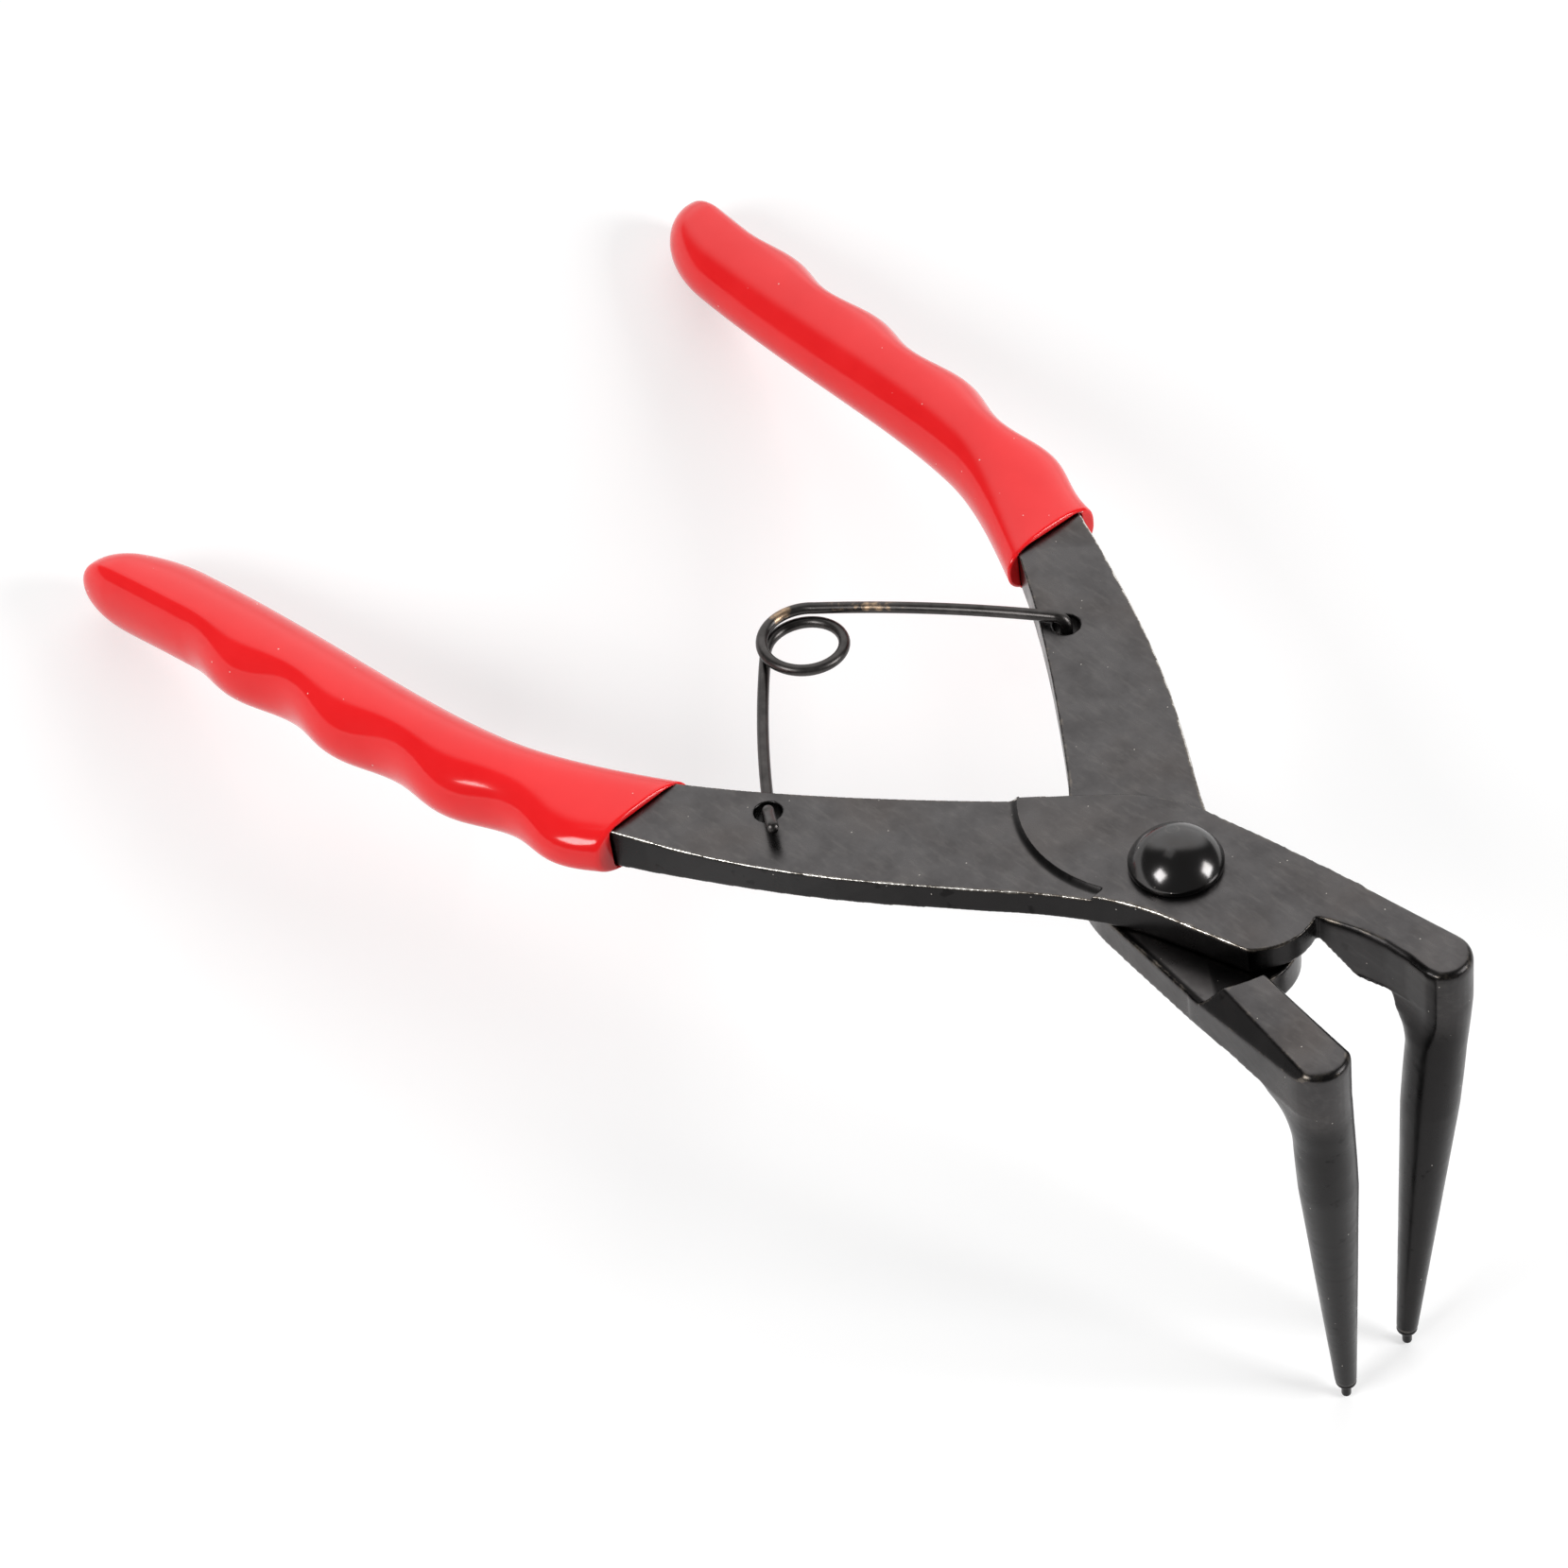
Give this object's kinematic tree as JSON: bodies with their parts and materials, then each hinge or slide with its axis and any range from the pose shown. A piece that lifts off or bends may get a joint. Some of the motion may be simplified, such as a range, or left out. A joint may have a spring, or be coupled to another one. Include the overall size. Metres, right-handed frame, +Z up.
{
  "type": "circlip pliers",
  "caption": "Spring-opened hand pliers with long tapered prongs bent down at a right angle, ending in small pins that enter and close a retaining ring.",
  "frame": {"origin": "on the surface the tool stands on, below the middle of its bounding box", "axes": "+X towards the jaws, +Y towards the lower lever's handle, +Z up; the tool stands nose-up on its two pins and on its grip ends"},
  "size_m": [0.2021, 0.1178, 0.0688],
  "materials": {
    "lever_steel": "black oxide on forged steel, satin, worn bright along the edges",
    "rivet_steel": "black, glossy dome",
    "spring_wire": "blackened spring wire, rubbed to bronze at the outer bend",
    "grip_vinyl": "glossy red dipped or moulded vinyl"
  },
  "bodies": {
    "upper_half": {"upper_lever": "lever_steel", "upper_grip": "grip_vinyl", "pivot_rivet": "rivet_steel", "return_spring": "spring_wire"},
    "lower_half": {"lower_lever": "lever_steel", "lower_grip": "grip_vinyl"}
  },
  "joints": [
    {"name": "pivot", "type": "hinge", "parent": "upper_half", "child": "lower_half", "pos_m": [0.04902, 0, 0.05446], "axis": [-0.3199, 0, 0.9475], "range_deg": [0, 15.5], "stiffness_Nm_per_rad": 2, "springref_deg": -14.32, "deforming": ["return_spring"]}
  ]
}
